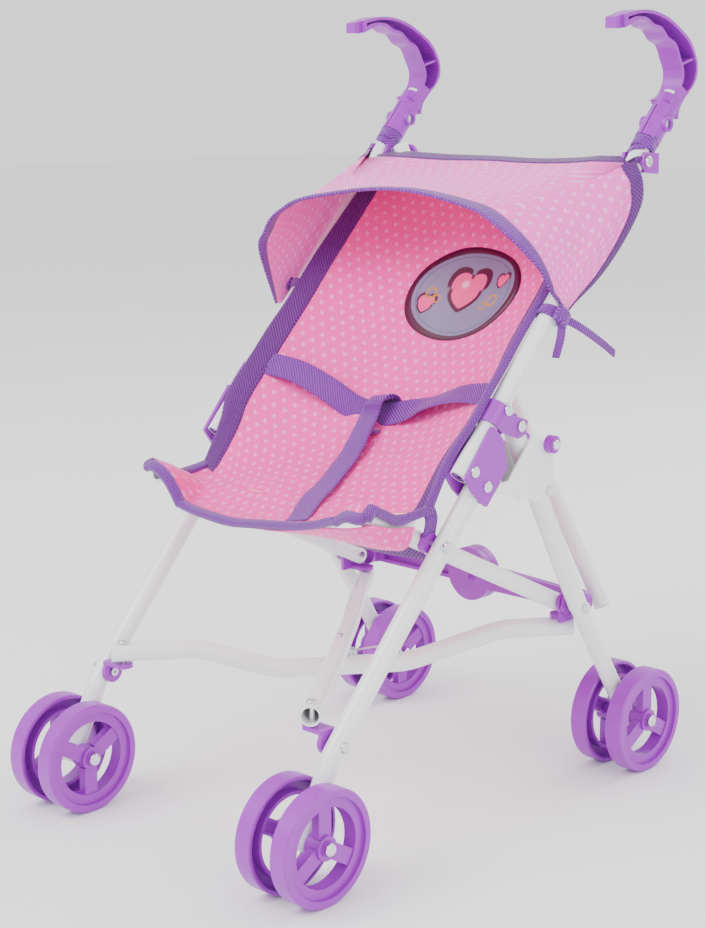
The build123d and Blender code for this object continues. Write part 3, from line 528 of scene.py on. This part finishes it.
# ---- seat ---------------------------------------------------------------------------------------
SEAT_HEM = [   # the front edge, from the far corner to the near one
    (-109, -108, 231), (-92, -109, 222.6), (-65, -108, 214), (-30, -108, 211), (7, -107, 213.3),
    (41, -107, 218.2), (73, -109, 226.3), (100, -113.5, 232), (109, -111, 233)]


def rail_height(y):
    """The height of the seat rails' centre lines."""
    return RAIL_PIN[1] + (y - RAIL_PIN[0]) * RAIL_SLOPE


def over_rails(x, y, z):
    """The height of cloth at (x, y) that would hang at z but for the seat rails under it."""
    reach, tip, spread = RAIL_R + 2.6, -105.0, 30.0
    beside = abs(abs(x) - RAIL_X)
    return max(z, rail_height(max(y, tip)) + reach - beside ** 2 / spread - max(0.0, tip - y))


def seat_grid(columns, rows):
    """The seat's points, from the front hem back to the crease, where the backrest ends."""
    hem = smooth(SEAT_HEM, columns)
    crease = np.array([back_point(share, 0.0) for share in np.linspace(0.0, 1.0, columns)])
    grid = []
    for share in np.linspace(0.0, 1.0, rows):
        row = hem + (crease - hem) * share
        sag = 3.0 * math.sin(math.pi * share)
        grid.append([(x, y, over_rails(x, y, z - sag)) for x, y, z in row])
    return np.array(grid)


def make_seat():
    """Seat panel with a rope-like binding round its front and sides."""
    grid = ruffled(seat_grid(90, 30), 1.3, 30.0, 11.0)
    panel = slab("seat_panel", grid, CLOTH, PINK)
    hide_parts("seat_sling")
    front = sweep("seat_front_binding", grid[0], grid[0] - grid[2], (4.2, 3.0), WEBBING)
    pieces = [panel, front]
    for name, column, inner in (("right", 0, 3), ("left", -1, -4)):
        pieces.append(sweep(f"seat_side_binding_{name}", grid[:, column],
                            grid[:, column] - grid[:, inner], (4.2, 3.2), WEBBING))
    for piece in pieces:
        soft(piece, "rail_left")


def make_under_panel():
    """The sling's lower layer: from the front hem back under the rails to its own taped hem."""
    front = [(-34, -107, 209), (0, -107, 210), (40, -107, 215), (73, -107, 222), (98, -109, 226),
             (109, -107, 229)]
    middle = [(-34, -84, 208), (0, -84, 206), (40, -84, 207), (76, -84, 208), (103, -84, 210),
              (111, -84, 224)]
    rear = [(-30, -66, 207), (2, -64, 203), (42, -62, 200), (76, -60, 201), (103, -66, 206),
            (111, -66, 222)]
    rows = [smooth(line, 50) for line in (front, middle, rear)]
    grid = np.array([smooth([row[c] for row in rows], 24) for c in range(50)]).transpose(1, 0, 2)
    grid = ruffled(grid, 1.4, 34.0, 21.0)
    panel = slab("under_panel", grid, CLOTH, PINK)
    tape = [((-20, -66, 205), (0.1, 0.8, -0.5)), ((25, -58, 200.7), (0.1, 0.8, -0.5)),
            ((48, -52, 197.4), (0.1, 0.7, -0.6)), ((71, -46, 196.2), (0, 0.6, -0.7)),
            ((96, -41, 197), (0, 0.5, -0.8))]
    hem = strap("under_hem", tape, 11.0, 1.6, BAND)
    for piece in (panel, hem):
        soft(piece, "rail_left")


# ---- hood ---------------------------------------------------------------------------------------
HOOD = [   # front edge, then rear edge, from the near lower corner over the top to the far one
    ((127, 66, 351), (129, 62, 350)), ((121, 54, 379), (133, 104, 379)),
    ((112, 47, 394), (135, 139, 416)), ((101, 43, 405), (135, 144, 437)),
    ((84, 44, 415), (126, 143, 453)), ((66, 46, 422), (106, 149, 455)),
    ((32, 43, 430), (72, 155, 452)), ((0, 41, 433), (22, 155, 451)),
    ((-40, 42, 431), (-40, 155, 451)), ((-88, 31, 423), (-90, 154, 452)),
    ((-108, 29, 414), (-112, 149, 455)), ((-117, 27, 407), (-128, 143, 452)),
    ((-122, 25, 397), (-135, 143, 438)), ((-126, 23, 383), (-135, 112, 386)),
    ((-131, 42, 341), (-132, 52, 340)),
]


def hood_grid(columns, rows, start=0.0, end=1.0):
    """The hood's points, from that share of the way between its front and rear edges to another."""
    front = smooth([pair[0] for pair in HOOD], columns)
    rear = smooth([pair[1] for pair in HOOD], columns)
    grid = []
    for share in np.linspace(start, end, rows):
        row = front + (rear - front) * share
        middle = math.sin(math.pi * min(max(share, 0), 1))
        shares = np.linspace(0, 1, columns)
        sag = middle * np.sin(np.pi * shares) ** 1.5
        row = row + np.stack([np.zeros(columns), np.zeros(columns), -4.5 * sag], axis=1)
        grid.append(row)
    grid = ruffled(np.array(grid), 1.5, 60.0, 5.0)
    return np.array([[outside_tube(point) for point in row] for row in grid])


def outside_tube(point):
    """The point, moved sideways to clear the handle tube of its side where the hood hangs over it."""
    x, y, z = point
    side = math.copysign(1.0, x)
    offset = (z - FOLD_PIN[1]) * HANDLE[0] - (y - FOLD_PIN[0]) * HANDLE[1]
    reach = TUBE_R + 2.2
    shoulder, side_from, lowest, free_below = SHOULDER * reach, 92, -34, -14
    if abs(x) < side_from or offset < lowest:
        return point
    needed = math.sqrt(reach ** 2 - max(0.0, min(offset, shoulder)) ** 2)
    needed -= max(0.0, free_below - offset) * 0.35 + max(0.0, offset - shoulder)
    return np.array((side * max(abs(x), handle_x(y) + needed), y, z))


def make_hood():
    """Hood panel with its front and rear bindings."""
    grid = hood_grid(110, 40)
    panel = slab("hood_panel", grid, CLOTH, HOOD_LIT_PINK)
    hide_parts("hood")
    front = slab("hood_front_binding", hood_grid(110, 6, -0.02, 0.062), BINDING, WEBBING)
    rear = slab("hood_rear_binding", hood_grid(110, 6, 0.93, 1.02), BINDING, BAND)
    for piece in (panel, front, rear):
        soft(piece, "handle_left")


# ---- belts, loops and ties ----------------------------------------------------------------------
def make_harness():
    """Lap belt, and the crotch strap that loops over it."""
    lap = [((-103, 8, 300.5), (0.1, 0.62, 0.74)), ((-74, 12, 296), (0.25, 0.6, 0.72)),
           ((-46, 15, 285.6), (0.3, 0.55, 0.75)), ((-22, 17, 275), (0.15, 0.5, 0.85)),
           ((2, 18, 273), (0, 0.5, 0.85)), ((25, 19, 278), (-0.15, 0.6, 0.75)),
           ((49, 19, 287), (-0.35, 0.92, 0.3)), ((79, 16, 297), (-0.25, 0.8, 0.5)),
           ((109, 10, 301), (0, 0.68, 0.74))]
    belt = strap("lap_belt", lap, 17.5, TAPE)
    down = [((5, 20, 285), (1, 0, 0.2)), ((3, 11, 283), (1, 0, 0.2)), ((0, 8, 272), (1, 0, 0.1)),
            ((4, -14, 250.5), (1, 0, 0)), ((9, -34, 240), (1, 0, 0)), ((13, -50, 232.6), (1, 0, 0)),
            ((18, -68, 227), (1, 0.1, 0)), ((25, -86, 219.6), (1, 0.15, 0.15)),
            ((28, -94, 217.6), (1, 0.15, 0.2))]
    crotch = strap("crotch_strap", down, 17.0, TAPE)
    loop = [((4, 11, 284), (1, 0, 0.2)), ((5, 18, 287), (1, 0, 0.2)), ((6, 26, 283), (1, 0, 0.2)),
            ((5, 27, 272), (1, 0, 0.1)), ((3, 19, 263), (1, 0, 0.1)), ((1, 4, 262), (1, 0, 0))]
    fold = strap("crotch_strap_loop", loop, 17.0, TAPE, count=40)
    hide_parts("harness")
    for piece in (belt, crotch, fold):
        soft(piece, "handle_left")


def ring_round_tube(name, distance, radius, width, body, side, lean=0.0):
    """Webbing wrapped once round a handle tube."""
    y, z = on_handle(distance)
    centre = np.array((side * handle_x(y), y, z))
    axis = unit(np.array((0, HANDLE[0], HANDLE[1])) + np.array((lean * side, 0, 0)))
    first, second = np.array((1.0, 0, 0)), np.array((0, -HANDLE[1], HANDLE[0]))
    turns = np.linspace(0, 2 * math.pi, 37)
    path = [centre + first * math.cos(t) * radius + second * math.sin(t) * radius for t in turns]
    grid = [[p + axis * w for w in np.linspace(-width / 2, width / 2, 4)] for p in path]
    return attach(slab(name, np.array(grid), 1.5, WEBBING), body)


def make_hood_loops():
    """Tapes from the hood's rear corners round the handle tubes, between top clip and grip."""
    for name, side in (("left", 1), ("right", -1)):
        body = f"handle_{name}"
        ring_round_tube(f"hood_loop_ring_{name}", 282.5, TUBE_R + 1.3, 8.0, body, side)
        across = (0, 0.66, 0.75)
        stations = [((side * x, y, z), across) for x, y, z in (
            (108, 154, 449), (112, 156, 455), (116.5, 157, 461), (122, 155.5, 465),
            (128, 157.5, 466), (132.2, 162.5, 466.5), (131.5, 168, 466))]
        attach(strap(f"hood_loop_{name}", stations, 10.0, 1.5), body)


def make_hood_ties():
    """Ribbon ties knotted round the handle tubes at the hood's lower corners."""
    for name, side in (("left", 1), ("right", -1)):
        body = f"handle_{name}"
        ring_round_tube(f"hood_tie_ring_{name}", 130.0, TUBE_R + 1.2, 7.0, body, side, 0.25)
        y, z = on_handle(130.0, -1.0)
        x = side * (handle_x(y) + TUBE_R + 3.0)
        knot = [((x, y - 4, z + 4), (0, 0.7, 0.7)), ((x + side * 2.5, y, z), (0, 0.7, 0.7)),
                ((x, y + 4, z - 4), (0, 0.7, 0.7))]
        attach(strap(f"hood_knot_{name}", knot, 8.0, 5.0, count=12), body)
        tails = {"long": [((x, y, z), (0, 0.5, 0.8)), ((x + side * 6, y + 14, z - 8), (0, 0.4, 0.9)),
                          ((x + side * 9, y + 34, z - 20), (0, 0.3, 0.95)),
                          ((x + side * 12, y + 46, z - 29), (0, 0.2, 0.98))],
                 "short": [((x, y, z), (0.7, 0.7, 0)), ((x + side * 2, y - 3, z - 12), (0.8, 0.5, 0)),
                           ((x + side * 1, y - 7, z - 27), (0.9, 0.3, 0))]}
        for tail, stations in tails.items():
            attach(strap(f"hood_tie_{tail}_{name}", stations, 5.0, 0.9, count=30), body)


def make_seat_loops():
    """Tapes from the seat's corners down round the rail spacers."""
    for name, side in (("left", 1), ("right", -1)):
        stations = [((side * 109, -50, 231), (0, 1, 0.1)), ((side * 110.5, -49, 224), (0, 1, 0.1)),
                    ((side * 110.0, -50, 216), (0, 1, 0)), ((side * 108.5, -50, 208), (0, 1, 0))]
        piece = strap(f"seat_loop_{name}", stations, 11.0, 1.6, count=24)
        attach(piece, f"rail_{name}")


def make_hairpin():
    """Wire spring clip at the lower braces' crossing."""
    centre, radius, pitch, per_turn, count = np.array((-2.0, -12.0, 100.2)), 6.2, 1.5, 16, 3
    turns = []
    for k in range(per_turn * count + 1):
        angle = 2 * math.pi * k / per_turn
        turns.append(centre + np.array((radius * math.cos(angle), radius * math.sin(angle),
                                        -2.0 + pitch * k / per_turn)))
    tail = [turns[-1], turns[-1] + np.array((9, 8, 2.5)), turns[-1] + np.array((18, 17, 3.5)),
            turns[-1] + np.array((24, 23, 0.5)), turns[-1] + np.array((25, 24, -4.0))]
    path = np.concatenate([np.array(turns), smooth(tail, 30)[1:]])
    up = np.tile(np.array((0.0, 0.0, 1.0)), (len(path), 1))
    up[len(turns):] = (0.6, -0.6, 0.5)
    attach(sweep("hairpin_spring", path, up, (0.7, 0.7), CHROME, sides=8), "curved_brace")


# ---- CAD finishes, stage, lights and camera -----------------------------------------------------
def finish_frame():
    """Gives the CAD pieces that stay visible their finish."""
    slots = {row["node"]: row["material_slot"] for row in frame["record"]["subparts"]}
    for node, piece in frame["nodes"].items():
        material = FINISH.get(slots[node])
        if material is not None:
            for material_slot in piece.material_slots:
                material_slot.material = material


def add_stage():
    """Pale floor and an even white surround."""
    size = 8.0
    mesh = bpy.data.meshes.new("floor")
    mesh.from_pydata([(-size, -size, 0), (size, -size, 0), (size, size, 0), (-size, size, 0)], [],
                     [(0, 1, 2, 3)])
    floor = bpy.data.objects.new("floor", mesh)
    bpy.context.scene.collection.objects.link(floor)
    m = Material("floor_paper", Roughness=0.8)
    m.colour(m.mix(m.noise(3.0), linear(244, 244, 245), linear(250, 250, 250)))
    mesh.materials.append(m.data)
    world = bpy.data.worlds.new("studio")
    bpy.context.scene.world = world
    world.use_nodes = True
    background = next(n for n in world.node_tree.nodes if n.type == "BACKGROUND")
    background.inputs[0].default_value = (1.0, 1.0, 1.0, 1.0)
    background.inputs[1].default_value = 1.35


def add_light(name, place, target, size, power):
    """A square area light of that size that looks at target."""
    data = bpy.data.lights.new(name, "AREA")
    data.shape = "SQUARE"
    data.size = size
    data.energy = power
    lamp = bpy.data.objects.new(name, data)
    bpy.context.scene.collection.objects.link(lamp)
    lamp.location = place
    lamp.rotation_euler = (Vector(target) - Vector(place)).to_track_quat("-Z", "Y").to_euler()


def add_camera():
    """A long lens from the doll's front left, at about the handles' height."""
    data = bpy.data.cameras.new("camera")
    data.lens = 73.53
    data.sensor_width = 36.0
    data.shift_x, data.shift_y = -0.0148, -0.0155
    camera = bpy.data.objects.new("camera", data)
    bpy.context.scene.collection.objects.link(camera)
    place, target = Vector((0.9177, -0.9705, 0.5138)), Vector((-0.09307, 0.10445, 0.22148))
    camera.location = place
    camera.rotation_euler = (target - place).to_track_quat("-Z", "Y").to_euler()
    bpy.context.scene.camera = camera


finish_frame()
make_backrest()
make_badge()
make_seat()
make_under_panel()
make_hood()
make_harness()
make_hood_loops()
make_hood_ties()
make_seat_loops()
make_hairpin()
add_stage()
add_light("key", (-0.6, -1.7, 1.9), (0, 0, 0.28), 1.4, 50)
add_light("fill", (2.0, -0.4, 1.2), (0, 0, 0.25), 1.6, 18)
add_light("back", (0.2, 1.8, 1.6), (0, 0, 0.3), 1.4, 24)
add_camera()
